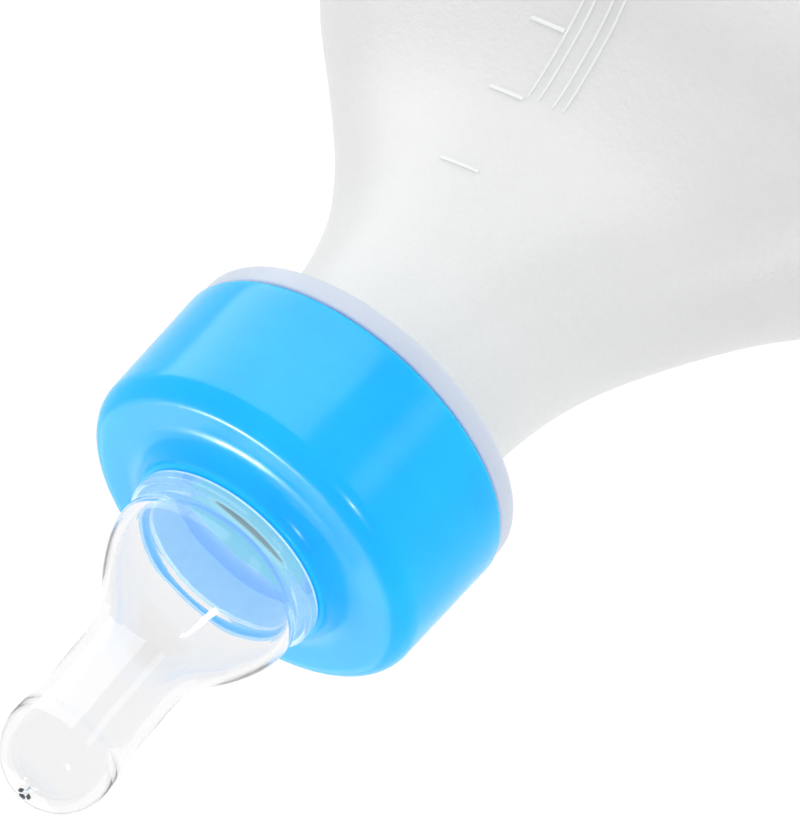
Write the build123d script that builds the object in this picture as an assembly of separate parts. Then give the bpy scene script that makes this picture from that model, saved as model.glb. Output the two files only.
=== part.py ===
from build123d import *
import os
from math import copysign, cos, gamma, pi, radians, sin

# Calf feeding bottle: a blow-moulded bottle, a screw cap and a soft teat.
# Millimetres. The bottle stands on its foot ring at z = 0, the teat points up +Z,
# the graduated panel faces -Y and the wide axis of the body is X.

# ---- driving dimensions -------------------------------------------------------
CAP_RADIUS = 32.0           # at its lower edge
CAPACITY_ML = 2000.0        # up to the highest graduation
BODY_HALF_WIDTH = 68.0
BODY_HALF_DEPTH = 44.0
BODY_SQUARENESS = 2.7       # superellipse power of the body's section, 2 is an ellipse
BODY_WALL = 1.5

# ---- bottle -------------------------------------------------------------------
FOOT_RADIUS = 7.0           # rounding between the side wall and the foot ring
FLOOR_Z = 5.0               # inside floor
PUSH_UP_DEPTH = 3.0         # hollow under the base, which leaves a foot ring
PUSH_UP_MARGIN = 14.0       # from the side wall to the edge of that hollow
NECK_RADIUS = 21.3
SHOULDER_DROP = 122.0       # from the cap's lower edge down to the full section
# Shoulder sections: drop below the cap's lower edge, half width, half depth, squareness
SHOULDER = [
    (114.0, 68.0, 43.7, 2.7),
    (97.0, 67.4, 41.2, 2.55),
    (84.5, 65.4, 36.2, 2.4),
    (73.8, 58.9, 28.4, 2.25),
    (59.3, 46.1, 22.3, 2.15),
    (46.5, 35.4, 21.5, 2.1),
    (35.3, 28.2, 20.9, 2.05),
    (25.7, 24.4, 20.8, 2.0),
    (17.6, 22.6, 20.9, 2.0),
    (9.0, NECK_RADIUS, NECK_RADIUS, 2.0),
    (4.0, NECK_RADIUS, NECK_RADIUS, 2.0),
]

# ---- neck finish, heights above the cap's lower edge -------------------------
FLANGE_RADIUS = 31.6
FLANGE_DROP = 4.8           # the flange's underside, at its outer edge
FLANGE_ROOT = (19.8, 5.5)   # radius and drop where the underside enters the neck's wall
FLANGE_GAP = 0.4            # between the flange and the tightened cap
FLANGE_EDGE = 1.2
FINISH_RADIUS = 27.8        # outside of the threaded wall
MOUTH_RADIUS = 25.6         # inside of the threaded wall
THROAT = (17.0, 8.0)        # radius and drop where the cone up to the mouth starts
THROAT_TOP = 0.5
RIM_HEIGHT = 20.0           # sealing rim

# ---- thread, shared by the neck and the cap ----------------------------------
LEAD = 5.0                  # one start, right-handed
THREAD_ROOT_WIDTH = 2.3
THREAD_CREST_WIDTH = 1.1
THREAD_DEPTH = 1.4
THREAD_SINK = 0.3           # how far a thread's root is let into its wall
NECK_THREAD_START = 3.5
NECK_THREAD_TURNS = 2.25
CAP_THREAD_START = 3.5
CAP_THREAD_TURNS = 2.0

# ---- screw cap ----------------------------------------------------------------
CAP_HEIGHT = 25.5           # to its flat face
CAP_TOP_RADIUS = 31.5       # the side has a little draft
CAP_EDGE = 4.0              # rounding from the side to the face
CAP_BORE = 29.6
CAP_CEILING = 23.1          # inside height
BOSS_RADIUS = 18.4          # raised ring round the hole
BOSS_HEIGHT = 29.4
BOSS_EDGE = 0.5
BOSS_SWEEP = 5.5            # width of the concave sweep from the face up to the ring
HOLE_RADIUS = 16.7

# ---- teat, heights above the cap's lower edge --------------------------------
TEAT_WALL = 1.7
TEAT_FLANGE_RADIUS = 27.5
TEAT_FLANGE_TOP = 23.0
TEAT_NECK_RADIUS = 16.4     # in the cap's hole
COLLAR_RADIUS = 17.85
COLLAR_BASE = 29.6
COLLAR_TOP = 32.2
COLLAR_EDGE = 0.9
WAIST = (32.95, 16.2)       # height, radius
# Outside of the bulb, narrowing into the shaft: height, radius
BULB = [(36.1, 17.0), (40.4, 16.0), (44.1, 14.05), (47.55, 11.8), (50.35, 10.2), (55.0, 9.0)]
SHAFT_RADIUS = 9.0
SHAFT_TOP = 66.3
BALL_RADIUS = 9.68
BALL_CENTRE = 74.0
NIPPLE_RADIUS = 1.05        # small raised ring at the tip
NIPPLE_HEIGHT = 0.45
OUTLET_RADIUS = 0.35

# ---- graduations on the front panel ------------------------------------------
RELIEF = 0.35               # how far marks stand out of the wall
RELIEF_SINK = 0.6           # how far they reach into it
STEP_ML = 50.0
LOWEST_MARK_ML = 100.0
TICK_WIDTH = 0.7
TICK_START = 3.9            # each tick starts beside the band and runs towards +X
TICK_LENGTH = 6.8
# The three highest marks: drop, start and length; the first stands above the band
TOP_TICKS = [(43.3, 1.4, 7.7), (59.4, TICK_START, TICK_LENGTH), (71.7, TICK_START, TICK_LENGTH)]
BAND_LINES = [-3.5, -1.5, 1.5, 3.5]   # fine raised lines along the flat band
LINE_WIDTH = 0.45
BAND_TOP_DROP = 60.0
BAND_BOTTOM_Z = 24.0

ARC_STEPS = 8               # facets in a rounded edge's quarter turn
OUTLINE_POINTS = 32         # points that a body section's smooth line passes through
CUT_OVERLAP = 1.0           # how far a cut reaches past the face that it opens
WAIST_LEAN = 0.6            # outward slope of the bulb where it leaves the waist


def section_area(half_width, half_depth, power):
    """Area of a superellipse."""
    return 4 * half_width * half_depth * gamma(1 + 1 / power) ** 2 / gamma(1 + 2 / power)


def shoulder_volume():
    """Inside volume from the full section up to the highest graduation, in ml."""
    rows = [(SHOULDER_DROP, BODY_HALF_WIDTH, BODY_HALF_DEPTH, BODY_SQUARENESS)] + SHOULDER
    rows = [row for row in rows if row[0] > TOP_TICKS[0][0]]
    total = 0.0
    for (low, *a), (high, *b) in zip(rows, rows[1:]):
        ends = [section_area(w - BODY_WALL, d - BODY_WALL, n) for w, d, n in (a, b)]
        total += (low - high) * sum(ends) / 2
    return total / 1000


BODY_AREA = section_area(
    BODY_HALF_WIDTH - BODY_WALL, BODY_HALF_DEPTH - BODY_WALL, BODY_SQUARENESS
)
STRAIGHT_LENGTH = 1000 * (CAPACITY_ML - shoulder_volume()) / BODY_AREA
CAP_Z = round(FLOOR_Z + STRAIGHT_LENGTH + SHOULDER_DROP)   # height of the cap's lower edge


def outline(half_width, half_depth, power, z):
    """Closed smooth superellipse face at height z."""
    points = []
    for i in range(OUTLINE_POINTS):
        angle = 2 * pi * i / OUTLINE_POINTS
        c, s = cos(angle), sin(angle)
        x = half_width * copysign(abs(c) ** (2 / power), c)
        y = half_depth * copysign(abs(s) ** (2 / power), s)
        points.append((x, y, z))
    return make_face(Spline(points, periodic=True))


def body_shape(inset, bottom):
    """Body and shoulder up to the narrow neck, with every wall moved in by inset."""
    width, depth = BODY_HALF_WIDTH - inset, BODY_HALF_DEPTH - inset
    shoulder_z = CAP_Z - SHOULDER_DROP
    tub = extrude(outline(width, depth, BODY_SQUARENESS, bottom), amount=shoulder_z - bottom)
    tub = fillet(tub.edges().group_by(Axis.Z)[0], FOOT_RADIUS - inset)
    faces = [outline(width, depth, BODY_SQUARENESS, shoulder_z)]
    for drop, half_width, half_depth, power in SHOULDER:
        faces.append(outline(half_width - inset, half_depth - inset, power, CAP_Z - drop))
    return tub + loft(faces)


def ring(outer, inner, low, high):
    """Tube on the bottle's axis between two heights above the cap's lower edge."""
    tube = Cylinder(outer, high - low, align=(Align.CENTER, Align.CENTER, Align.MIN))
    if inner:
        tube -= Cylinder(inner, high - low, align=(Align.CENTER, Align.CENTER, Align.MIN))
    return Pos(0, 0, CAP_Z + low) * tube


def turned(points):
    """Solid of revolution from (radius, height above the cap's lower edge) corners."""
    face = make_face(Polyline([(r, 0, CAP_Z + h) for r, h in points], close=True))
    return revolve(face, axis=Axis.Z)


def thread(wall_radius, outward, start, turns):
    """Helical thread on a wall; outward is 1 on the neck and -1 inside the cap."""
    root = wall_radius - outward * THREAD_SINK
    crest = wall_radius + outward * THREAD_DEPTH
    half_root, half_crest = THREAD_ROOT_WIDTH / 2, THREAD_CREST_WIDTH / 2
    path = Helix(pitch=LEAD, height=turns * LEAD, radius=wall_radius)
    corners = [(root, -half_root), (crest, -half_crest), (crest, half_crest), (root, half_root)]
    profile = make_face(Polyline([(r, 0, h) for r, h in corners], close=True))
    return Pos(0, 0, CAP_Z + start) * sweep(profile, path=path, is_frenet=True)


def depth_at(drop):
    """Half depth of the body at a drop below the cap's lower edge."""
    rows = [(SHOULDER_DROP, BODY_HALF_DEPTH)] + [(row[0], row[2]) for row in SHOULDER]
    for (low, a), (high, b) in zip(rows, rows[1:]):
        if high <= drop <= low:
            return b + (a - b) * (drop - high) / (low - high)
    return BODY_HALF_DEPTH


def inner_area(drop):
    """Inside area of the body's section at a drop below the cap's lower edge."""
    if drop >= SHOULDER_DROP:
        return BODY_AREA
    _, half_width, half_depth, power = min(SHOULDER, key=lambda row: abs(row[0] - drop))
    return section_area(half_width - BODY_WALL, half_depth - BODY_WALL, power)


def tick_places():
    """Drop, start and length of every graduation, from the top down."""
    places = list(TOP_TICKS)
    marks = int((CAPACITY_ML - LOWEST_MARK_ML) / STEP_ML) + 1
    lowest_drop = CAP_Z - FLOOR_Z - FOOT_RADIUS
    while len(places) < marks:
        drop = places[-1][0]
        places.append((drop + 1000 * STEP_ML / inner_area(drop), TICK_START, TICK_LENGTH))
    return [place for place in places if place[0] < lowest_drop]


def front_marks(skin):
    """Graduations and band lines as relief on the front wall."""
    bars = []
    for drop, start, length in tick_places():
        depth = depth_at(drop) + 2 * RELIEF
        centre = Pos(start + length / 2, -depth, CAP_Z - drop)
        bars.append(centre * Box(length, BODY_HALF_DEPTH, TICK_WIDTH))
    # The lines' bars reach from in front of the panel to behind the narrow shoulder's wall.
    length = CAP_Z - BAND_TOP_DROP - BAND_BOTTOM_Z
    front, back = BODY_HALF_DEPTH + 2 * RELIEF, NECK_RADIUS / 2
    for x in BAND_LINES:
        centre = Pos(x, -(front + back) / 2, BAND_BOTTOM_Z + length / 2)
        bars.append(centre * Box(LINE_WIDTH, front - back, length))
    return [bar & skin for bar in bars]


def push_up():
    """Shallow hollow under the base that leaves the foot ring."""
    faces = []
    for z, inset in ((0, PUSH_UP_MARGIN), (PUSH_UP_DEPTH, PUSH_UP_MARGIN + 2 * PUSH_UP_DEPTH)):
        width, depth = BODY_HALF_WIDTH - inset, BODY_HALF_DEPTH - inset
        faces.append(outline(width, depth, BODY_SQUARENESS, z))
    return loft(faces, ruled=True)


def bottle():
    """Hollow bottle with its threaded neck finish, flange, raised marks and foot ring."""
    shell = body_shape(0.0, 0.0)
    shell += turned(
        [
            (0, -FLANGE_ROOT[1]),
            (FLANGE_ROOT[0], -FLANGE_ROOT[1]),
            (FLANGE_RADIUS - FLANGE_EDGE, -FLANGE_DROP),
            (FLANGE_RADIUS, -FLANGE_DROP + FLANGE_EDGE),
            (FLANGE_RADIUS, -FLANGE_GAP - FLANGE_EDGE / 3),
            (FLANGE_RADIUS - FLANGE_EDGE / 3, -FLANGE_GAP),
            (FINISH_RADIUS, -FLANGE_GAP),
            (FINISH_RADIUS, RIM_HEIGHT),
            (0, RIM_HEIGHT),
        ]
    )
    shell += thread(FINISH_RADIUS, 1, NECK_THREAD_START, NECK_THREAD_TURNS)
    # Raised marks, cut from a skin that stands a little proud of the body.
    for mark in front_marks(body_shape(-RELIEF, -RELIEF) - body_shape(RELIEF_SINK, RELIEF_SINK)):
        shell += mark
    # Inside: body, narrow neck, cone up to the wide mouth.
    shell -= body_shape(BODY_WALL, FLOOR_Z)
    shell -= turned(
        [
            (0, -THROAT[1]),
            (THROAT[0], -THROAT[1]),
            (MOUTH_RADIUS, THROAT_TOP),
            (MOUTH_RADIUS, RIM_HEIGHT + CUT_OVERLAP),
            (0, RIM_HEIGHT + CUT_OVERLAP),
        ]
    )
    return shell - push_up()


def quarter(centre, size, start, end):
    """Points after the first on an ellipse about (radius, height), between two angles."""
    points = []
    for i in range(1, ARC_STEPS + 1):
        a = radians(start + (end - start) * i / ARC_STEPS)
        points.append((centre[0] + size[0] * cos(a), centre[1] + size[1] * sin(a)))
    return points


def screw_cap():
    """Smooth cap with a rounded edge, a raised ring round its hole and an inner thread."""
    shoulder = (CAP_TOP_RADIUS - CAP_EDGE, CAP_HEIGHT - CAP_EDGE)
    ring_side = BOSS_HEIGHT - BOSS_EDGE
    sweep = (BOSS_SWEEP, ring_side - CAP_HEIGHT)
    profile = [(CAP_BORE, 0), (CAP_RADIUS, 0), (CAP_TOP_RADIUS, CAP_HEIGHT - CAP_EDGE)]
    profile += quarter(shoulder, (CAP_EDGE, CAP_EDGE), 0, 90)
    profile.append((BOSS_RADIUS + BOSS_SWEEP, CAP_HEIGHT))
    profile += quarter((BOSS_RADIUS + BOSS_SWEEP, ring_side), sweep, 270, 180)
    profile += [
        (BOSS_RADIUS - BOSS_EDGE, BOSS_HEIGHT),
        (HOLE_RADIUS + BOSS_EDGE, BOSS_HEIGHT),
        (HOLE_RADIUS, ring_side),
        (HOLE_RADIUS, CAP_CEILING),
        (CAP_BORE, CAP_CEILING),
    ]
    return turned(profile) + thread(
        CAP_BORE, -1, CAP_THREAD_START + LEAD / 2, CAP_THREAD_TURNS
    )


def teat_base():
    """Outside corners of the clamped flange, the neck in the hole, the collar and waist."""
    points = [
        (TEAT_FLANGE_RADIUS, RIM_HEIGHT),
        (TEAT_FLANGE_RADIUS, TEAT_FLANGE_TOP),
        (TEAT_NECK_RADIUS, TEAT_FLANGE_TOP),
        (TEAT_NECK_RADIUS, COLLAR_BASE),
        (COLLAR_RADIUS, COLLAR_BASE),
        (COLLAR_RADIUS, COLLAR_TOP - COLLAR_EDGE),
    ]
    edge = (COLLAR_RADIUS - COLLAR_EDGE, COLLAR_TOP - COLLAR_EDGE)
    points += quarter(edge, (COLLAR_EDGE, COLLAR_EDGE), 0, 90)
    points.append((WAIST[1], WAIST[0]))
    return [(r, 0, CAP_Z + h) for r, h in points]


def teat_wall_curve(inset):
    """Smooth outside or inside line of the bulb, shaft and ball."""
    base = [(WAIST[1] - inset, 0, CAP_Z + WAIST[0])]
    base += [(r - inset, 0, CAP_Z + h) for h, r in BULB]
    neck_end = (SHAFT_RADIUS - inset, 0, CAP_Z + SHAFT_TOP)
    bulb = Spline(base, tangents=[(WAIST_LEAN, 0, 1), (0, 0, 1)])
    shaft = Line(bulb @ 1, neck_end)
    ball_side = (BALL_RADIUS - inset, 0, CAP_Z + BALL_CENTRE)
    swell = Spline([neck_end, ball_side], tangents=[(0, 0, 1), (0, 0, 1)])
    radius = BALL_RADIUS - inset
    tip = (0, 0, CAP_Z + BALL_CENTRE + radius)
    half_way = (radius * cos(pi / 4), 0, CAP_Z + BALL_CENTRE + radius * sin(pi / 4))
    dome = ThreePointArc(ball_side, half_way, tip)
    return bulb + shaft + swell + dome, tip


def teat():
    """Soft teat: clamped flange, snap collar, bulb, shaft and ball with its outlet."""
    centre = (0, 0, CAP_Z + RIM_HEIGHT)
    curve, tip = teat_wall_curve(0.0)
    skirt = Polyline([centre] + teat_base())
    solid = revolve(make_face(skirt + curve + Line(tip, centre)), axis=Axis.Z)
    inner, inner_tip = teat_wall_curve(TEAT_WALL)
    bore = TEAT_NECK_RADIUS - TEAT_WALL
    below = CAP_Z + RIM_HEIGHT - CUT_OVERLAP
    waist = (WAIST[1] - TEAT_WALL, 0, CAP_Z + WAIST[0])
    mouth = Polyline([(0, 0, below), (bore, 0, below), waist])
    hollow = revolve(make_face(mouth + inner + Line(inner_tip, (0, 0, below))), axis=Axis.Z)
    top = BALL_CENTRE + BALL_RADIUS
    solid += ring(NIPPLE_RADIUS, 0, top - TEAT_WALL / 2, top + NIPPLE_HEIGHT)
    solid -= hollow
    return solid - ring(OUTLET_RADIUS, 0, top - 2 * TEAT_WALL, top + 2 * NIPPLE_HEIGHT)


os.makedirs("parts", exist_ok=True)
for name, make in {"bottle": bottle, "screw_cap": screw_cap, "teat": teat}.items():
    export_step(make(), f"parts/{name}.step")
print("the cap's lower edge is at z =", CAP_Z)
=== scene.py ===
# %% [markdown]
# # A calf feeding bottle, piece by piece
#
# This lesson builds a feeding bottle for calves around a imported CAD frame. The real object has three
# parts: a blow-moulded bottle, a screw cap and a soft clear teat. Each is a hollow turned or nearly
# turned shape, so one method serves all three: a disc is pulled up and pushed in, ring by ring.
# Everything is in metres, and every place comes from the frame.

# %% Load the frame
import math

import bpy
from mathutils import Matrix, Vector


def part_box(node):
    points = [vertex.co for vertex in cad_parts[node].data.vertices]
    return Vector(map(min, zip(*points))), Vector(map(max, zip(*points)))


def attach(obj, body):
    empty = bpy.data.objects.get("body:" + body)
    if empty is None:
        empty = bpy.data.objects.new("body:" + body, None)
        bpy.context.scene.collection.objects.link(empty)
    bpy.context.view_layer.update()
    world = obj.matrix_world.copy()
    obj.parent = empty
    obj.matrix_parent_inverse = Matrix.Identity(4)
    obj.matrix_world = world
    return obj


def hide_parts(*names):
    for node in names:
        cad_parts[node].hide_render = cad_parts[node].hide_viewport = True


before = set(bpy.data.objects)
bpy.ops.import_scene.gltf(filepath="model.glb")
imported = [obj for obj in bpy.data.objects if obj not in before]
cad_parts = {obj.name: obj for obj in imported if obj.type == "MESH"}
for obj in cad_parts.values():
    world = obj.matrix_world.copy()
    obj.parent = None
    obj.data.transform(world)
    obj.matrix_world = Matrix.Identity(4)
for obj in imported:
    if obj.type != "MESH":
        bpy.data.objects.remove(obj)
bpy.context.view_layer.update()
MM = 0.001
TINY = 1e-6
cap_low, cap_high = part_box("screw_cap")
_, bottle_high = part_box("bottle")
teat_low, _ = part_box("teat")
print("nodes:", sorted(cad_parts))

# %% [markdown]
# ## Camera
# The bottle stands upright in its own frame, but it is looked at as it is held for feeding: the teat
# points down and to the left. So the camera looks from above the cap, from 31 degrees to the left of
# the front panel, and it is rolled over. A long lens keeps the perspective weak, as in a product shot.
# Building the camera's three axes by hand gives full control of the roll.

# %% Camera
CAP_EDGE_Z = cap_low.z
AZIMUTH = math.radians(-30.7)
ELEVATION = math.radians(29.3)
ROLL = math.radians(137.5)
DISTANCE = 0.95
FRAME_HEIGHT = 0.1307           # what the picture's long side covers at the cap
AIM = (0.00975, 0.00431)        # from the cap's lower edge to the middle of the picture

toward = Vector((math.sin(AZIMUTH) * math.cos(ELEVATION),
                 -math.cos(AZIMUTH) * math.cos(ELEVATION),
                 math.sin(ELEVATION)))
level_right = Vector((math.cos(AZIMUTH), math.sin(AZIMUTH), 0.0))
level_up = toward.cross(level_right)
right = level_right * math.cos(ROLL) - level_up * math.sin(ROLL)
up = level_right * math.sin(ROLL) + level_up * math.cos(ROLL)
target = Vector((0, 0, CAP_EDGE_Z)) + right * AIM[0] + up * AIM[1]

camera_data = bpy.data.cameras.new("camera")
camera_data.sensor_width = 36.0
camera_data.lens = camera_data.sensor_width * DISTANCE / FRAME_HEIGHT
camera_data.clip_start = 0.05
camera_data.clip_end = 20.0
camera = bpy.data.objects.new("camera", camera_data)
bpy.context.scene.collection.objects.link(camera)
camera.matrix_world = Matrix((
    (right.x, up.x, toward.x, target.x + toward.x * DISTANCE),
    (right.y, up.y, toward.y, target.y + toward.y * DISTANCE),
    (right.z, up.z, toward.z, target.z + toward.z * DISTANCE),
    (0, 0, 0, 1),
))
bpy.context.scene.camera = camera
print("lens", round(camera_data.lens, 1), "mm")

# %% [markdown]
# ## Pulling a disc into a hollow shape
# A cup can be spun from a drawn line, or pulled up from a disc. Pulling keeps one closed skin from the
# start: a filled disc is extruded, moved and resized for each ring, up the outside, over the rim and
# down the inside, and the disc itself ends as the inner floor. A row is (height, half width, half depth).

# %% Ring helpers
def clear_selection():
    bpy.ops.object.select_all(action="DESELECT")


def pull_disc(name, rows, sides, lean=None):
    """A closed skin through the rows; lean gives each height's sideways shift."""
    clear_selection()
    height, width, depth = rows[0]
    bpy.ops.mesh.primitive_circle_add(vertices=sides, radius=1.0, fill_type="TRIFAN",
                                      location=(0, 0, height))
    piece = bpy.context.object
    piece.name = piece.data.name = name
    piece.scale = (width, depth, 1)
    bpy.ops.object.transform_apply(location=True, rotation=True, scale=True)
    turn = piece.data.attributes.new("turn", "FLOAT", "POINT")
    for vertex in piece.data.vertices:
        turn.data[vertex.index].value = math.atan2(vertex.co.y / depth, vertex.co.x / width)
    bpy.ops.object.mode_set(mode="EDIT")
    bpy.ops.mesh.select_all(action="SELECT")
    centre = Vector((0, 0, height))
    for (z, w, d), (_, last_w, last_d) in zip(rows[1:], rows):
        shift = lean(z) if lean else Vector((0, 0, 0))
        place = Vector((shift.x, shift.y, z))
        bpy.ops.mesh.extrude_region_move(TRANSFORM_OT_translate={"value": place - centre})
        bpy.ops.transform.resize(value=(w / last_w, d / last_d, 1), center_override=place)
        centre = place
    bpy.ops.mesh.select_all(action="SELECT")
    bpy.ops.mesh.normals_make_consistent(inside=False)
    bpy.ops.object.mode_set(mode="OBJECT")
    return piece


def round_rows(rows):
    """Rows with one radius, for turned shapes: (height, radius) to (height, width, depth)."""
    return [(z, r, r) for z, r in rows]


def arc(centre_z, centre_r, radius, start, end, steps=6):
    """(height, radius) points on an arc; 0 degrees points outwards and 90 up."""
    angles = [math.radians(start + (end - start) * i / steps) for i in range(steps + 1)]
    return [(centre_z + radius * math.sin(a), centre_r + radius * math.cos(a)) for a in angles]


def through(points, step):
    """A smooth line through points, cut to about one step: Hermite curves between neighbours."""
    line = [points[0]]
    for i in range(len(points) - 1):
        before, a = points[max(i - 1, 0)], points[i]
        b, after = points[i + 1], points[min(i + 2, len(points) - 1)]
        span = b[0] - a[0]
        pieces = max(1, round(abs(span) / step))
        for k in range(1, pieces + 1):
            t = k / pieces
            row = [a[0] + span * t]
            for j in range(1, len(a)):
                slope_a = (b[j] - before[j]) / (b[0] - before[0]) * span
                slope_b = (after[j] - a[j]) / (after[0] - a[0]) * span
                row.append(
                    (2 * t**3 - 3 * t**2 + 1) * a[j] + (t**3 - 2 * t**2 + t) * slope_a
                    + (3 * t**2 - 2 * t**3) * b[j] + (t**3 - t**2) * slope_b
                )
            line.append(tuple(row))
    return line


def finish_piece(piece, body, material, crease_degrees=35):
    """Smooth shading, the material, and the body that the piece rides on."""
    clear_selection()
    piece.select_set(True)
    bpy.context.view_layer.objects.active = piece
    bpy.ops.object.shade_smooth_by_angle(angle=math.radians(crease_degrees))
    piece.data.materials.clear()
    piece.data.materials.append(material)
    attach(piece, body)
    low = [min(v.co[k] for v in piece.data.vertices) for k in range(3)]
    high = [max(v.co[k] for v in piece.data.vertices) for k in range(3)]
    size = [round((b - a) / MM, 1) for a, b in zip(low, high)]
    print(piece.name, "size in mm", size, "faces", len(piece.data.polygons))


# %% [markdown]
# ## Node helpers
# Every finish is a Principled shader with procedural detail in Object coordinates, so that grain and
# flow marks have a real size in metres. Small helpers keep the node trees short to read.

# %% Node helpers
def new_material(name):
    """A material, its tree and its Principled shader."""
    material = bpy.data.materials.new(name)
    material.use_nodes = True
    tree = material.node_tree
    return material, tree, tree.nodes["Principled BSDF"]


def noise(tree, per_metre, detail=3.0, roughness=0.5, stretch=(1, 1, 1)):
    """Noise whose grains are about one over per_metre wide, in Object coordinates."""
    coordinates = tree.nodes.new("ShaderNodeTexCoord")
    mapping = tree.nodes.new("ShaderNodeMapping")
    mapping.inputs["Scale"].default_value = stretch
    texture = tree.nodes.new("ShaderNodeTexNoise")
    texture.inputs["Scale"].default_value = per_metre
    texture.inputs["Detail"].default_value = detail
    texture.inputs["Roughness"].default_value = roughness
    tree.links.new(coordinates.outputs["Object"], mapping.inputs["Vector"])
    tree.links.new(mapping.outputs["Vector"], texture.inputs["Vector"])
    return texture.outputs["Fac"]


def between(tree, value, low, high):
    """A 0 to 1 value spread between two numbers."""
    spread = tree.nodes.new("ShaderNodeMapRange")
    spread.inputs["From Min"].default_value = 0.3
    spread.inputs["From Max"].default_value = 0.7
    spread.inputs["To Min"].default_value = low
    spread.inputs["To Max"].default_value = high
    tree.links.new(value, spread.inputs["Value"])
    return spread.outputs["Result"]


def tint(tree, value, low, high):
    """A colour between two colours."""
    ramp = tree.nodes.new("ShaderNodeValToRGB")
    ramp.color_ramp.elements[0].position = 0.3
    ramp.color_ramp.elements[1].position = 0.7
    ramp.color_ramp.elements[0].color = (*low, 1)
    ramp.color_ramp.elements[1].color = (*high, 1)
    tree.links.new(value, ramp.inputs["Fac"])
    return ramp.outputs["Color"]


def add_bump(tree, shader, layers):
    """A chain of bumps, each (height value, depth in metres, strength)."""
    last = None
    for value, depth, strength in layers:
        bump = tree.nodes.new("ShaderNodeBump")
        bump.inputs["Distance"].default_value = depth
        bump.inputs["Strength"].default_value = strength
        tree.links.new(value, bump.inputs["Height"])
        if last:
            tree.links.new(last.outputs["Normal"], bump.inputs["Normal"])
        last = bump
    tree.links.new(last.outputs["Normal"], shader.inputs["Normal"])


# %% [markdown]
# ## Bottle plastic
# The bottle is natural, unpigmented plastic, about a millimetre and a half thick. Light goes in and
# comes out softened, so the shader has subsurface scattering. The mould was blasted, which leaves a
# fine leathery grain that breaks up the highlights, and the parison leaves faint long flow waves.

# %% Bottle plastic
def by_height(tree, low, high):
    """0 below one height and 1 above another, for a tint that changes along the bottle."""
    coordinates = tree.nodes.new("ShaderNodeTexCoord")
    split = tree.nodes.new("ShaderNodeSeparateXYZ")
    spread = tree.nodes.new("ShaderNodeMapRange")
    spread.inputs["From Min"].default_value = low
    spread.inputs["From Max"].default_value = high
    tree.links.new(coordinates.outputs["Object"], split.inputs["Vector"])
    tree.links.new(split.outputs["Z"], spread.inputs["Value"])
    return spread.outputs["Result"]


def bottle_plastic(name, grain_depth, glow, softness=0.6):
    """Natural plastic; the flange and finish are painted pale blue for the blue light that soaks through
    the cap, and glow sets a painted glow.
    """
    material, tree, shader = new_material(name)
    cloud = noise(tree, 25, detail=2)
    grain = noise(tree, 1400, detail=2, roughness=0.6)
    dimples = noise(tree, 520, detail=1)
    flow = noise(tree, 30, detail=1, stretch=(1, 1, 0.25))
    natural = tint(tree, cloud, (0.815, 0.81, 0.80), (0.845, 0.84, 0.83))
    # Painted light: above a band 8 to 4 mm below the cap's lower edge, the colour turns pale blue for
    # light that soaks through the cap.
    blend = tree.nodes.new("ShaderNodeMix")
    blend.data_type = "RGBA"
    blend.inputs["B"].default_value = (0.60, 0.66, 0.76, 1)
    near_cap = by_height(tree, CAP_EDGE_Z - 8 * MM, CAP_EDGE_Z - 4 * MM)
    tree.links.new(near_cap, blend.inputs["Factor"])
    tree.links.new(natural, blend.inputs["A"])
    tree.links.new(blend.outputs["Result"], shader.inputs["Base Color"])
    tree.links.new(between(tree, dimples, 0.30, 0.42), shader.inputs["Roughness"])
    shader.inputs["IOR"].default_value = 1.5
    shader.inputs["Specular IOR Level"].default_value = 0.25
    shader.inputs["Subsurface Weight"].default_value = softness
    shader.inputs["Subsurface Radius"].default_value = (1.0, 0.98, 0.95)
    shader.inputs["Subsurface Scale"].default_value = 0.004
    # Painted light: the emission glow stands for light soaking into the plastic.
    shader.inputs["Emission Color"].default_value = (0.30, 0.95, 1.0, 1)
    shader.inputs["Emission Strength"].default_value = glow
    layers = [(flow, 0.0006, 0.4), (dimples, 0.0002, 0.6)]
    if grain_depth:
        layers.append((grain, grain_depth, 1.0))
    add_bump(tree, shader, layers)
    return material


# %% [markdown]
# ## Cap plastic
# The cap is glossy blue polypropylene that lets a little light through. Its skin is smooth, with a
# slow orange-peel wave and a few soft cloudy patches where the colour masterbatch mixed unevenly.

# %% Cap plastic
def cap_plastic(name, glow):
    """Glossy blue plastic; the glow stands for light that soaks through the wall."""
    material, tree, shader = new_material(name)
    cloud = noise(tree, 60, detail=2)
    peel = noise(tree, 260, detail=1)
    wear = noise(tree, 900, detail=2)
    colour = tint(tree, cloud, (0.002, 0.44, 1.0), (0.006, 0.49, 1.0))
    tree.links.new(colour, shader.inputs["Base Color"])
    tree.links.new(between(tree, wear, 0.16, 0.24), shader.inputs["Roughness"])
    shader.inputs["IOR"].default_value = 1.5
    shader.inputs["Specular IOR Level"].default_value = 0.18
    shader.inputs["Emission Color"].default_value = (0.02, 0.45, 1.0, 1)
    shader.inputs["Emission Strength"].default_value = glow
    shader.inputs["Subsurface Weight"].default_value = 0.8
    shader.inputs["Subsurface Radius"].default_value = (0.5, 0.9, 1.0)
    shader.inputs["Subsurface Scale"].default_value = 0.004
    add_bump(tree, shader, [(peel, 0.00008, 0.4)])
    return material


# %% [markdown]
# ## Clear silicone
# The teat is water-clear silicone rubber: it bends light like glass but a little less, and its skin
# has a very slight haze and ripple from the mould. A walled mesh with a real inside surface lets the
# shader show both skins, the thick rims and the bright edges.

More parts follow.
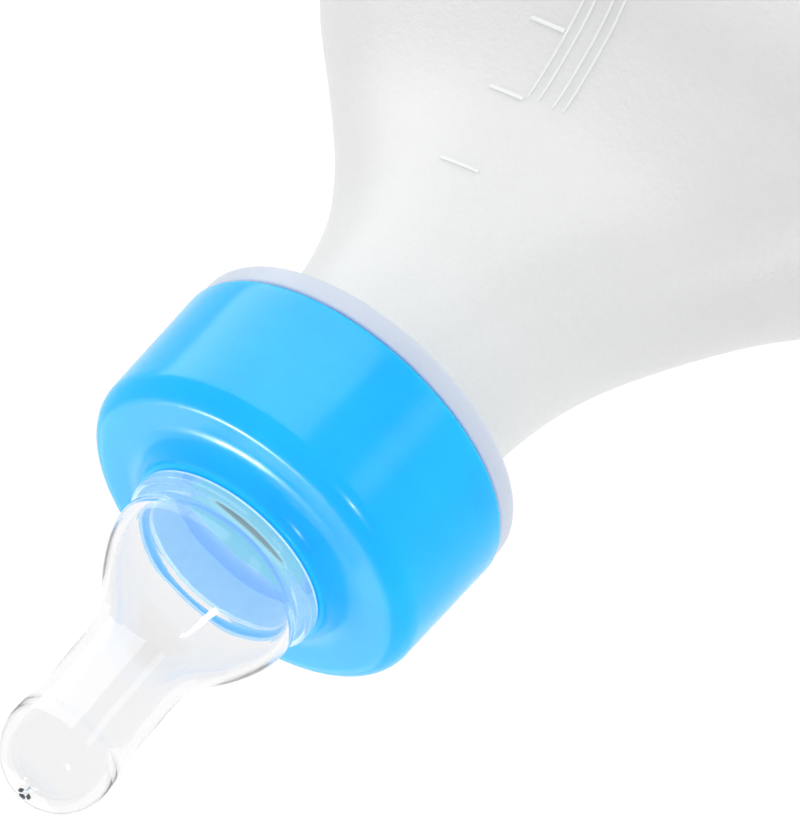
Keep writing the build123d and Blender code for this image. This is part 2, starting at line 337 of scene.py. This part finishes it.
# %% Clear silicone
def clear_silicone():
    """Clear rubber with a slight haze and ripple."""
    material, tree, shader = new_material("clear_silicone")
    ripple = noise(tree, 180, detail=1)
    haze = noise(tree, 500, detail=2)
    shader.inputs["Base Color"].default_value = (0.90, 0.90, 0.905, 1)
    shader.inputs["Transmission Weight"].default_value = 1.0
    shader.inputs["IOR"].default_value = 1.36
    # Painted light: a faint white emission glow lightens the clear rubber.
    shader.inputs["Emission Color"].default_value = (1.0, 1.0, 1.0, 1)
    shader.inputs["Emission Strength"].default_value = 0.012
    tree.links.new(between(tree, haze, 0.015, 0.05), shader.inputs["Roughness"])
    add_bump(tree, shader, [(ripple, 0.00008, 0.5)])
    # Lamps and bounced light pass straight through, so that the cap inside the bulb stays lit.
    path = tree.nodes.new("ShaderNodeLightPath")
    lit = tree.nodes.new("ShaderNodeMath")
    lit.operation = "MAXIMUM"
    clear = tree.nodes.new("ShaderNodeBsdfTransparent")
    mix = tree.nodes.new("ShaderNodeMixShader")
    tree.links.new(path.outputs["Is Shadow Ray"], lit.inputs[0])
    tree.links.new(path.outputs["Is Diffuse Ray"], lit.inputs[1])
    tree.links.new(lit.outputs["Value"], mix.inputs["Fac"])
    tree.links.new(shader.outputs["BSDF"], mix.inputs[1])
    tree.links.new(clear.outputs["BSDF"], mix.inputs[2])
    tree.links.new(mix.outputs["Shader"], tree.nodes["Material Output"].inputs["Surface"])
    return material


def cap_blue_silicone_glow():
    """Silicone pressed against the cap: seen through the rubber, it takes the cap's pale blue, and its
    emission is a painted glow for light that reaches it through the clear rubber.
    """
    material, tree, shader = new_material("cap_blue_silicone_glow")
    haze = noise(tree, 500, detail=2)
    colour = tint(tree, haze, (0.30, 0.60, 0.90), (0.36, 0.65, 0.93))
    tree.links.new(colour, shader.inputs["Base Color"])
    tree.links.new(between(tree, haze, 0.4, 0.5), shader.inputs["Roughness"])
    # Painted light: an emission glow lights these faces.
    shader.inputs["Emission Color"].default_value = (0.45, 0.75, 1.0, 1)
    shader.inputs["Emission Strength"].default_value = 0.25
    return material


# %% [markdown]
# ## The finishes together
# Light soaks through the blue cap and tints what is near it, so the faces inside the mouth and inside
# the cap are given a painted glow. A piece stays one mesh: the faces that pass a test on their place
# take a second finish. The raised marks have no grain and no softness, so that they stay crisp; a weak
# painted glow lightens them.

# %% Finishes
plastic = bottle_plastic("bottle_plastic", grain_depth=0.00012, glow=0.0)
# Painted light: the marks get a weak emission glow, and the inside copies glow much more than the outside
# ones.
plastic_marks = bottle_plastic("bottle_plastic_marks", grain_depth=0.0, glow=0.05, softness=0.0)
plastic_inside_painted_glow = bottle_plastic("bottle_plastic_inside", grain_depth=0.0, glow=0.32)
blue = cap_plastic("cap_plastic", glow=0.12)
blue_inside_painted_glow = cap_plastic("cap_plastic_inside", glow=0.6)
silicone = clear_silicone()
cap_blue_glow = cap_blue_silicone_glow()
print("materials:", len(bpy.data.materials))


FACING_IN = -0.1                # how far a face must lean to the axis to count as an inside face


def second_finish(piece, material, belongs):
    """Gives a second finish to the faces whose height, radius and outward lean pass a test."""
    piece.data.materials.append(material)
    count = 0
    for face in piece.data.polygons:
        radius = max(math.hypot(face.center.x, face.center.y), 0.1 * MM)
        outward = (face.normal.x * face.center.x + face.normal.y * face.center.y) / radius
        if belongs(face.center.z, radius, outward):
            face.material_index = 1
            count += 1
    print(piece.name, "faces of the second finish:", count)


# %% [markdown]
# ## The bottle
# The real bottle is blown in a mould: a round neck flares into a flat, wide body with a rounded
# section. It is pulled from a disc under the base: out to the foot ring, up the side, in along the
# shoulder, out over the neck flange, up the threaded finish, over the rim and back down the inside.
# The rings start as ellipses; a second step squares the body's rings a little, more where it is full.

# %% Bottle rows
HALF_WIDTH = 68 * MM
HALF_DEPTH = 44 * MM
WALL = 1.5 * MM
FOOT = 7 * MM
PUSH_UP = 3 * MM
FLOOR = 5 * MM
RIM_Z = bottle_high.z
SIDE_RINGS = 14
BOTTLE_SIDES = 128              # points round each ring
# Under the base: share of the hollow's depth and how far in from the side, in mm
BASE_RINGS = [(1, 22), (0.93, 20), (0.6, 17.5), (0.2, 15), (0.03, 13.5), (0, 12), (0, 7.5)]
DISC_R = 1 * MM                 # the small disc that a bottle starts and ends with
# Drop below the cap's lower edge, half width, half depth
SHOULDER = [
    (134, 68.0, 44.0), (122, 68.0, 44.0), (110, 67.9, 43.3), (97, 67.3, 41.0), (84.5, 65.3, 36.0),
    (73.8, 58.9, 28.5), (59.3, 46.1, 22.4), (46.5, 35.4, 21.4), (35.3, 28.2, 20.9),
    (25.7, 24.4, 20.8), (17.6, 22.6, 20.9), (9, 21.3, 21.3), (6.2, 21.3, 21.3),
]
# Superellipse power of the section at a drop: round at the neck, squarer in the body
SQUARENESS = [(30, 2.0), (46.5, 2.1), (59.3, 2.15), (73.8, 2.25), (84.5, 2.4), (97, 2.55), (114, 2.7)]
SHOULDER_STEP = 2.2             # mm between the shoulder's rings
FLANGE_R = 31.6 * MM
FLANGE_THICK = 4.4 * MM
FLANGE_GAP = 0.4 * MM
FLANGE_EDGE = 1.5 * MM          # rounding of the flange's lower edge
FLANGE_FILLET = 0.9 * MM        # between the neck and the flange's underside
FINISH_R = 27.8 * MM
FINISH_FILLET = 0.6 * MM
MOUTH_R = 25.6 * MM
EDGE = 0.5 * MM                 # rounding of the flange's top, the sealing rim and the cap's edges
THROAT_GLOW = 9 * MM            # the inside finish with its painted glow reaches this far below the cap's lower edge
RIM_SKIN = 0.8 * MM             # and covers this much of the sealing rim
# The cone below the mouth: drop below the cap's lower edge and radius
THROAT = [(0.5, 25.0), (2.5, 22.8), (4.5, 20.6)]


def base_rows():
    """Under the base: the hollow, the foot ring and its rounding."""
    rows = [(PUSH_UP, DISC_R, DISC_R)]
    for share, inset in BASE_RINGS:
        rows.append((PUSH_UP * share, HALF_WIDTH - inset * MM, HALF_DEPTH - inset * MM))
    for z, r in arc(FOOT, 0, FOOT, -90, 0, steps=8)[1:]:
        rows.append((z, HALF_WIDTH - FOOT + r, HALF_DEPTH - FOOT + r))
    return rows


def side_rows():
    """The straight side and the shoulder up to the narrow neck."""
    top = CAP_EDGE_Z - SHOULDER[0][0] * MM
    rise = (top - FOOT) / SIDE_RINGS
    rows = [(FOOT + rise * i, HALF_WIDTH, HALF_DEPTH) for i in range(1, SIDE_RINGS)]
    line = through(SHOULDER, step=SHOULDER_STEP)
    rows += [(CAP_EDGE_Z - drop * MM, w * MM, d * MM) for drop, w, d in line]
    return rows


def finish_rows():
    """The neck flange, the threaded wall and the sealing rim, as (height, radius)."""
    top = CAP_EDGE_Z - FLANGE_GAP
    low = top - FLANGE_THICK
    neck_r = SHOULDER[-1][1] * MM
    rows = arc(low - FLANGE_FILLET, neck_r + FLANGE_FILLET, FLANGE_FILLET, 180, 90, steps=4)
    rows += arc(low + FLANGE_EDGE, FLANGE_R - FLANGE_EDGE, FLANGE_EDGE, -90, 0, steps=6)
    rows += arc(top - EDGE, FLANGE_R - EDGE, EDGE, 0, 90, steps=4)
    rows += arc(top + FINISH_FILLET, FINISH_R + FINISH_FILLET, FINISH_FILLET, 270, 180, steps=3)
    rows += [(top + (RIM_Z - top) * i / 6, FINISH_R) for i in range(1, 6)]
    rows += arc(RIM_Z - EDGE, FINISH_R - EDGE, EDGE, 0, 90, steps=4)
    rows += arc(RIM_Z - EDGE, MOUTH_R + EDGE, EDGE, 90, 180, steps=4)
    return rows


def throat_rows():
    """Down the inside of the finish, in to the narrow neck."""
    deep = CAP_EDGE_Z + 1 * MM
    rows = [(RIM_Z - (RIM_Z - deep) * i / 5, MOUTH_R) for i in range(1, 6)]
    rows += [(CAP_EDGE_Z - drop * MM, r * MM) for drop, r in THROAT]
    return rows


def inside_rows():
    """Down the inside of the shoulder and side to the floor."""
    rows = [(z, w - WALL, d - WALL) for z, w, d in reversed(side_rows())]
    inner = FOOT - WALL
    for z, r in arc(FLOOR + inner, 0, inner, 0, -90, steps=6):
        rows.append((z, HALF_WIDTH - FOOT + r, HALF_DEPTH - FOOT + r))
    rows += [(FLOOR, HALF_WIDTH - 25 * MM, HALF_DEPTH - 25 * MM), (FLOOR, DISC_R, DISC_R)]
    return rows


def squareness(z):
    """Superellipse power of the section at a height, between the listed drops."""
    drop = (CAP_EDGE_Z - z) / MM
    if drop <= SQUARENESS[0][0]:
        return SQUARENESS[0][1]
    for (a, low), (b, high) in zip(SQUARENESS, SQUARENESS[1:]):
        if drop <= b:
            return low + (high - low) * (drop - a) / (b - a)
    return SQUARENESS[-1][1]


def square_rings(piece):
    """Moves each ring's points from an ellipse out to its superellipse."""
    turn = piece.data.attributes["turn"].data
    for vertex in piece.data.vertices:
        power = 2 / squareness(vertex.co.z) - 1
        angle = turn[vertex.index].value
        c, s = abs(math.cos(angle)), abs(math.sin(angle))
        if c > TINY:
            vertex.co.x *= c**power
        if s > TINY:
            vertex.co.y *= s**power


# %% Bottle
rows = base_rows() + side_rows() + round_rows(finish_rows() + throat_rows()) + inside_rows()
bottle = pull_disc("bottle_shell", rows, sides=BOTTLE_SIDES)
square_rings(bottle)
finish_piece(bottle, "bottle", plastic)
second_finish(bottle, plastic_inside_painted_glow, lambda z, radius, outward: (
    (z > CAP_EDGE_Z - THROAT_GLOW and outward < FACING_IN) or z > RIM_Z - RIM_SKIN))
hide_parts("bottle")

# %% [markdown]
# ## Threads
# The neck and the cap share one right-hand thread with a 5 mm lead. A thread is one small profile
# swept along a helix. The Screw modifier does exactly that: it turns the profile about Z and lifts it.

# %% Threads
LEAD = 5 * MM
THREAD_DEPTH = 1.4 * MM
THREAD_SINK = 0.3 * MM          # how far the root reaches into its wall
THREAD_WIDTH = 2.3 * MM
CREST_SHARE = 0.48              # the crest's width as a share of the root's
STEPS_A_TURN = 72


def screw_thread(name, wall, crest, start, turns):
    """A four-cornered profile from the wall to the crest, swept up a helix."""
    clear_selection()
    sink = THREAD_SINK if crest > wall else -THREAD_SINK
    middle = (crest + wall - sink) / 2
    bpy.ops.mesh.primitive_plane_add(size=1, location=(0, 0, 0), rotation=(math.pi / 2, 0, 0))
    piece = bpy.context.object
    piece.name = piece.data.name = name
    piece.scale = (abs(crest - wall + sink), THREAD_WIDTH, 1)
    piece.location = (middle, 0, start)
    bpy.ops.object.transform_apply(location=True, rotation=True, scale=True)
    bpy.ops.object.mode_set(mode="EDIT")
    bpy.ops.mesh.select_all(action="DESELECT")
    bpy.ops.object.mode_set(mode="OBJECT")
    outer = max if crest > wall else min
    edge_x = outer(v.co.x for v in piece.data.vertices)
    for vertex in piece.data.vertices:
        vertex.select = abs(vertex.co.x - edge_x) < TINY
    bpy.ops.object.mode_set(mode="EDIT")
    bpy.ops.transform.resize(value=(1, 1, CREST_SHARE), center_override=(edge_x, 0, start))
    bpy.ops.mesh.select_all(action="SELECT")
    bpy.ops.mesh.delete(type="ONLY_FACE")
    bpy.ops.object.mode_set(mode="OBJECT")
    screw = piece.modifiers.new("screw", "SCREW")
    screw.angle = 2 * math.pi * turns
    screw.screw_offset = LEAD * turns
    screw.steps = screw.render_steps = int(STEPS_A_TURN * turns)
    screw.use_merge_vertices = False
    bpy.ops.object.modifier_apply(modifier="screw")
    bpy.ops.object.mode_set(mode="EDIT")
    bpy.ops.mesh.select_all(action="SELECT")
    bpy.ops.mesh.fill_holes(sides=4)
    bpy.ops.mesh.normals_make_consistent(inside=False)
    bpy.ops.object.mode_set(mode="OBJECT")
    return piece


neck_thread = screw_thread("neck_thread", FINISH_R, FINISH_R + THREAD_DEPTH,
                           CAP_EDGE_Z + 3.5 * MM, 2.25)
finish_piece(neck_thread, "bottle", plastic)

# %% [markdown]
# ## Graduations
# The scale is moulded in: short raised ticks beside a flat band that two pairs of fine lines edge.
# Thin strips in front of the panel are pressed onto it with a Shrinkwrap modifier, so that they follow
# the shoulder, and Solidify gives them their height.

# %% Graduations
STEP_ML = 50
TICK_WIDTH = 0.7 * MM
TICK_HEIGHT = 0.22 * MM
TICK_START, TICK_LENGTH = 3.9, 6.8
# The three highest marks: drop below the cap, start and length; the first stands above the band
TOP_TICKS = [(43.3, 1.4, 7.7), (59.4, TICK_START, TICK_LENGTH), (71.7, TICK_START, TICK_LENGTH)]
BAND_LINES = (-3.5, -1.5, 1.5, 3.5)
BAND_TOP_DROP = 60 * MM
BAND_LOW = 24 * MM
LINE_WIDTH = 0.45 * MM
LINE_HEIGHT = 0.18 * MM
AREA_SHARE = 0.86               # a section's area as a share of the box round it
CLEAR_OF_FLOOR = 14             # mm from the inside floor to the lowest place for a mark
STRIP_GAP = 10 * MM             # strips start this far in front of the panel


def section_area(drop):
    """Area in square mm of the body's section at a drop."""
    full = [row for row in SHOULDER if row[0] >= drop] or SHOULDER[:1]
    return 4 * full[-1][1] * full[-1][2] * AREA_SHARE


def tick_places():
    """The top three marks, then one step of volume apart down the body, in mm."""
    places = list(TOP_TICKS)
    lowest = (CAP_EDGE_Z - FLOOR) / MM - CLEAR_OF_FLOOR
    while places[-1][0] < lowest:
        drop = places[-1][0]
        places.append((drop + STEP_ML * 1000 / section_area(drop), TICK_START, TICK_LENGTH))
    return places


def strips(name, boxes):
    """Flat strips in front of the panel, cut fine enough to bend: (x, z, width, height, cuts)."""
    made = []
    for x, z, width, height, cuts in boxes:
        clear_selection()
        bpy.ops.mesh.primitive_grid_add(x_subdivisions=cuts[0], y_subdivisions=cuts[1], size=1,
                                        location=(x, -HALF_DEPTH - STRIP_GAP, z),
                                        rotation=(math.pi / 2, 0, 0))
        strip = bpy.context.object
        strip.scale = (width, height, 1)
        bpy.ops.object.transform_apply(location=True, rotation=True, scale=True)
        made.append(strip)
    clear_selection()
    for strip in made:
        strip.select_set(True)
    bpy.context.view_layer.objects.active = made[0]
    bpy.ops.object.join()
    piece = bpy.context.object
    piece.name = piece.data.name = name
    return piece


def press_on(piece, wall, height):
    """Presses strips onto a wall and gives them their height and soft edges."""
    wrap = piece.modifiers.new("press", "SHRINKWRAP")
    wrap.wrap_method = "PROJECT"
    wrap.use_project_y = True
    wrap.use_positive_direction = True
    wrap.use_negative_direction = False
    wrap.target = wall
    wrap.offset = height
    solid = piece.modifiers.new("thickness", "SOLIDIFY")
    solid.thickness = height * 1.6
    solid.offset = -1
    edge = piece.modifiers.new("edge", "BEVEL")
    edge.width = 0.12 * MM
    edge.segments = 2
    for modifier in ("press", "thickness", "edge"):
        bpy.ops.object.modifier_apply(modifier=modifier)


boxes = []
for drop, start, length in tick_places():
    middle = (start + length / 2) * MM
    boxes.append((middle, CAP_EDGE_Z - drop * MM, length * MM, TICK_WIDTH, (6, 2)))
ticks = strips("graduation_ticks", boxes)
press_on(ticks, bottle, TICK_HEIGHT)
finish_piece(ticks, "bottle", plastic_marks)

band_top = CAP_EDGE_Z - BAND_TOP_DROP
boxes = []
for x in BAND_LINES:
    boxes.append((x * MM, (band_top + BAND_LOW) / 2, LINE_WIDTH, band_top - BAND_LOW, (2, 90)))
lines = strips("band_lines", boxes)
press_on(lines, bottle, LINE_HEIGHT)
finish_piece(lines, "bottle", plastic_marks)

# %% [markdown]
# ## The screw cap
# The cap is one smooth blue moulding: a straight side, a rounded edge, a flat face that sweeps up to a
# raised ring round the hole, and a hollow inside for the neck. It has a hole, so the disc cannot stay:
# the rings run once round the wall and the two ends are bridged.

# %% Screw cap
CAP_R = cap_high.x
CAP_TOP_R = 31.5 * MM
CAP_FACE = CAP_EDGE_Z + 25.5 * MM
CAP_EDGE = 4 * MM
CAP_BORE = 29.6 * MM
CAP_CEILING = CAP_EDGE_Z + 23.1 * MM
BOSS_R = 18.4 * MM
BOSS_SWEEP = 5.5 * MM
BOSS_TOP = cap_high.z
HOLE_R = 16.7 * MM
HOLE_EDGE = 0.4 * MM
CEILING_EDGE = 1.2 * MM
BORE_EDGE = 0.3 * MM


def cap_rows():
    """Round the cap's wall, from the hole's lower edge down the inside and up the outside."""
    rows = [(CAP_CEILING, HOLE_R), (CAP_CEILING, 22 * MM), (CAP_CEILING, 28 * MM)]
    rows += arc(CAP_CEILING - CEILING_EDGE, CAP_BORE - CEILING_EDGE, CEILING_EDGE, 90, 0, steps=4)
    depth = CAP_CEILING - CAP_EDGE_Z
    rows += [(CAP_EDGE_Z + depth * i / 6, CAP_BORE) for i in range(5, 0, -1)]
    rows += arc(CAP_EDGE_Z + BORE_EDGE, CAP_BORE + BORE_EDGE, BORE_EDGE, 180, 270, steps=3)
    rows += arc(CAP_EDGE_Z + EDGE, CAP_R - EDGE, EDGE, -90, 0, steps=4)
    side = CAP_FACE - CAP_EDGE - CAP_EDGE_Z
    draft = CAP_R - CAP_TOP_R
    rows += [(CAP_EDGE_Z + side * i / 6, CAP_R - draft * i / 6) for i in range(1, 6)]
    rows += arc(CAP_FACE - CAP_EDGE, CAP_TOP_R - CAP_EDGE, CAP_EDGE, 0, 90, steps=12)
    rise = BOSS_TOP - EDGE - CAP_FACE
    for z, r in arc(1, 1, 1, 270, 180, steps=10):
        rows.append((CAP_FACE + rise * z, BOSS_R + BOSS_SWEEP * r))
    rows += arc(BOSS_TOP - EDGE, BOSS_R - EDGE, EDGE, 0, 90, steps=4)
    rows += arc(BOSS_TOP - HOLE_EDGE, HOLE_R + HOLE_EDGE, HOLE_EDGE, 90, 180, steps=3)
    return rows


def pull_tube(name, rows, sides):
    """Rings pulled round a wall that closes on itself, with the two ends bridged."""
    clear_selection()
    height, radius = rows[0]
    bpy.ops.mesh.primitive_circle_add(vertices=sides, radius=radius, location=(0, 0, height))
    piece = bpy.context.object
    piece.name = piece.data.name = name
    bpy.ops.object.transform_apply(location=True, rotation=True, scale=True)
    bpy.ops.object.mode_set(mode="EDIT")
    bpy.ops.mesh.select_all(action="SELECT")
    for (z, r), (last_z, last_r) in zip(rows[1:], rows):
        bpy.ops.mesh.extrude_edges_move(TRANSFORM_OT_translate={"value": (0, 0, z - last_z)})
        bpy.ops.transform.resize(value=(r / last_r, r / last_r, 1), center_override=(0, 0, z))
    bpy.ops.mesh.select_all(action="DESELECT")
    bpy.ops.mesh.select_non_manifold()
    bpy.ops.mesh.bridge_edge_loops()
    bpy.ops.mesh.select_all(action="SELECT")
    bpy.ops.mesh.normals_make_consistent(inside=False)
    bpy.ops.object.mode_set(mode="OBJECT")
    return piece


cap = pull_tube("screw_cap_shell", cap_rows(), sides=144)
finish_piece(cap, "cap", blue, crease_degrees=50)
second_finish(cap, blue_inside_painted_glow, lambda z, radius, outward: outward < FACING_IN)
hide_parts("screw_cap")
cap_thread = screw_thread("cap_thread", CAP_BORE, CAP_BORE - THREAD_DEPTH,
                          CAP_EDGE_Z + 6 * MM, 2.0)
finish_piece(cap_thread, "cap", blue_inside_painted_glow)

# %% [markdown]
# ## The teat
# The teat is one clear silicone moulding. Its flange is clamped on the bottle's rim, a collar snaps
# over the cap's ring, and above it a bulb narrows into a shaft that ends in a ball with the outlet.
# Its wall has an outside and an inside, so it is pulled like the bottle: up the outside to the outlet,
# and down the inside. Soft rubber droops a little, so the rings lean with height.

# %% Teat
SHAFT_WALL = 2.0 * MM
BASE = CAP_EDGE_Z
DROOP = math.radians(2.2)
DROOP_FROM = BASE + 36 * MM
TEAT_FLANGE_R = 27.5 * MM
TEAT_FLANGE_TOP = BASE + 23.0 * MM
TEAT_FLANGE_EDGE = 0.4 * MM
TEAT_NECK_R = 16.4 * MM         # in the cap's hole
TEAT_BORE = 14.7 * MM
COLLAR_R = 17.85 * MM
COLLAR_LOW = BASE + 29.6 * MM
COLLAR_TOP = BASE + 32.2 * MM
COLLAR_EDGE = 0.9 * MM
COLLAR_FOOT = 0.3 * MM          # rounding of the collar's lower edge
NUB_HEIGHT = 0.4 * MM
# The nub's rings: drop below its top and radius, in mm
NUB = [(0.22, 1.05), (0.07, 0.9), (0, 0.72), (0.06, 0.52), (0.25, 0.4)]
# Wall thickness at heights above the cap's lower edge, in mm
WALLS = [(30, 1.7), (44, 1.7), (52, SHAFT_WALL / MM), (66, SHAFT_WALL / MM)]
BULB_STEP = 0.9                 # mm between the teat's rings
# Height above the cap's lower edge and radius, from the waist up to the ball's widest ring
BULB = [
    (32.95, 16.2), (34.2, 16.8), (36.1, 17.0), (38.3, 16.65), (41.0, 15.65), (44.1, 14.05),
    (47.55, 11.8), (50.2, 10.25), (52.8, 9.4), (56.0, 9.05), (60.6, 9.0), (64.3, 8.95),
    (66.8, 9.0), (70.5, 9.4), (74.0, 9.68),
]
BALL_R = 9.68 * MM
BALL_Z = BASE + 74.0 * MM


def teat_outside():
    """Flange, neck in the hole, collar, bulb, shaft, ball and the small raised ring at the tip."""
    rows = [(teat_low.z, TEAT_BORE), (teat_low.z, 20 * MM)]
    edge_r = TEAT_FLANGE_R - TEAT_FLANGE_EDGE
    rows += arc(teat_low.z + TEAT_FLANGE_EDGE, edge_r, TEAT_FLANGE_EDGE, -90, 0, steps=3)
    rows += arc(TEAT_FLANGE_TOP - TEAT_FLANGE_EDGE, edge_r, TEAT_FLANGE_EDGE, 0, 90, steps=3)
    rows += [(TEAT_FLANGE_TOP, 20 * MM), (TEAT_FLANGE_TOP, TEAT_NECK_R)]
    rows += [(BASE + 27 * MM, TEAT_NECK_R), (COLLAR_LOW, TEAT_NECK_R), (COLLAR_LOW, 17.45 * MM)]
    rows += arc(COLLAR_LOW + COLLAR_FOOT, COLLAR_R - COLLAR_FOOT, COLLAR_FOOT, -60, 0, steps=2)
    rows += arc(COLLAR_TOP - COLLAR_EDGE, COLLAR_R - COLLAR_EDGE, COLLAR_EDGE, 0, 90, steps=5)
    rows += [(BASE + z * MM, r * MM) for z, r in through(BULB, step=BULB_STEP)]
    end = math.degrees(math.acos(1.3 * MM / BALL_R))
    rows += arc(BALL_Z, 0, BALL_R, 0, end, steps=14)[1:]
    top = BALL_Z + BALL_R + NUB_HEIGHT
    rows += [(top - drop * MM, r * MM) for drop, r in NUB]
    return rows


def teat_inside():
    """From the outlet down the inside of the ball, past its throat, the shaft, bulb and neck."""
    inner_ball = BALL_R - SHAFT_WALL
    rows = [(BALL_Z + inner_ball - 0.1 * MM, 0.3 * MM)]
    start = math.degrees(math.acos(0.8 * MM / inner_ball))
    rows += arc(BALL_Z, 0, inner_ball, start, -28, steps=14)
    rows += [(BASE + 69.2 * MM, 6.68 * MM), (BASE + 67.6 * MM, 6.82 * MM)]
    wall = through(WALLS, step=2)
    line = [(z, r) for z, r in through(BULB, step=BULB_STEP) if z < WALLS[-1][0]]
    for z, r in reversed(line):
        thick = next(w for low, w in reversed(wall) if low <= z)
        rows.append((BASE + z * MM, (r - thick) * MM))
    rows += [(BASE + 31.5 * MM, TEAT_BORE), (BASE + 27 * MM, TEAT_BORE)]
    return rows


def droop(z):
    """Sideways shift of a ring, growing above the bulb; it sags to the camera's lower side."""
    rise = max(0.0, z - DROOP_FROM)
    return level_right * (-math.tan(DROOP) * rise)


def lean_rings(piece, shift):
    """Shifts every point sideways by its height."""
    for vertex in piece.data.vertices:
        vertex.co += shift(vertex.co.z)


teat = pull_tube("teat_skin", teat_outside() + teat_inside(), sides=128)
lean_rings(teat, droop)
finish_piece(teat, "teat", silicone, crease_degrees=50)
second_finish(teat, cap_blue_glow, lambda z, radius, outward: (
    z < COLLAR_LOW + 0.1 * MM and radius > TEAT_NECK_R - 0.1 * MM))
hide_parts("teat")

# %% [markdown]
# ## Floor and light
# A plain white floor and a bright even sky give the soft high-key look of a product shot. Two small
# boxes show only as bright spots on the cap's rounded edge and on the teat, and a wide weak one fills
# one side. The low cards stand round the bottle and the top card stands where the cap's face mirrors
# the camera; both show only in gloss, where they lay a soft veil over the blue.

# %% Floor and light
clear_selection()
bpy.ops.mesh.primitive_plane_add(size=12, location=(0, 0, 0))
floor = bpy.context.object
floor.name = "floor"
floor_material, _, floor_shader = new_material("floor_white")
floor_shader.inputs["Base Color"].default_value = (0.95, 0.95, 0.95, 1)
floor_shader.inputs["Roughness"].default_value = 0.9
floor_shader.inputs["Specular IOR Level"].default_value = 0.1
floor_shader.inputs["Emission Color"].default_value = (1, 1, 1, 1)
floor_shader.inputs["Emission Strength"].default_value = 0.12
floor.data.materials.append(floor_material)

world = bpy.data.worlds.new("studio")
world.use_nodes = True
sky = world.node_tree.nodes["Background"]
sky.inputs["Color"].default_value = (1.0, 1.0, 1.0, 1)
sky.inputs["Strength"].default_value = 0.97
bpy.context.scene.world = world


def area_light(name, place, facing, size, power):
    """An area light at a place; facing points from what it lights back to it."""
    light = bpy.data.lights.new(name, "AREA")
    light.size = size
    light.energy = power
    lamp = bpy.data.objects.new(name, light)
    bpy.context.scene.collection.objects.link(lamp)
    lamp.location = place
    lamp.rotation_mode = "QUATERNION"
    lamp.rotation_quaternion = facing.to_track_quat("Z", "Y")
    return lamp


def soft_box(name, offset, size, power):
    """A square soft box at an offset in the camera's own axes, facing the cap."""
    away = right * offset[0] + up * offset[1] + toward * offset[2]
    return area_light(name, Vector((0, 0, CAP_EDGE_Z)) + away, away, size, power)


def show_only_in_gloss(lamp):
    lamp.visible_camera = lamp.visible_diffuse = lamp.visible_transmission = False


def gloss_panel(name, azimuth, half_angle, brightness):
    """A low white card that shows only in gloss, so many degrees round from the camera."""
    angle = math.radians(azimuth)
    level_toward = Vector((toward.x, toward.y, 0)).normalized()
    away = level_toward * math.cos(angle) - level_right * math.sin(angle)
    width = 2 * CARD_RADIUS * math.tan(math.radians(half_angle))
    height = CARD_HIGH - CARD_LOW
    place = away * CARD_RADIUS + Vector((0, 0, (CARD_LOW + CARD_HIGH) / 2))
    panel = area_light(name, place, away, width, brightness * math.pi * width * height)
    panel.data.shape = "RECTANGLE"
    panel.data.size_y = height
    show_only_in_gloss(panel)


CARD_RADIUS = 0.35
CARD_LOW, CARD_HIGH = 0.01, 0.24
TOP_CARD_SIZE = 0.6
TOP_CARD_AWAY = 0.7
TOP_CARD_BRIGHTNESS = 1.2

for lamp in (soft_box("key", (-0.79, -0.70, -0.30), 0.10, 3.0),
             soft_box("side", (0.22, -0.54, 0.95), 0.12, 3.8)):
    lamp.visible_diffuse = False
fill = soft_box("fill", (-0.75, 0.70, 0.55), 0.5, 0.35)
fill.visible_glossy = fill.visible_camera = fill.visible_transmission = False
gloss_panel("card_left", -85, 24, 3.2)
gloss_panel("card_front", -36, 24, 3.4)
gloss_panel("card_right", 28, 7, 2.2)
mirrored = Vector((-toward.x, -toward.y, toward.z)) * TOP_CARD_AWAY
top_card = area_light("card_top", Vector((0, 0, CAP_FACE)) + mirrored, mirrored, TOP_CARD_SIZE,
                      TOP_CARD_BRIGHTNESS * math.pi * TOP_CARD_SIZE**2)
show_only_in_gloss(top_card)
bpy.context.scene.view_settings.view_transform = "Standard"
bpy.context.scene.view_settings.look = "None"
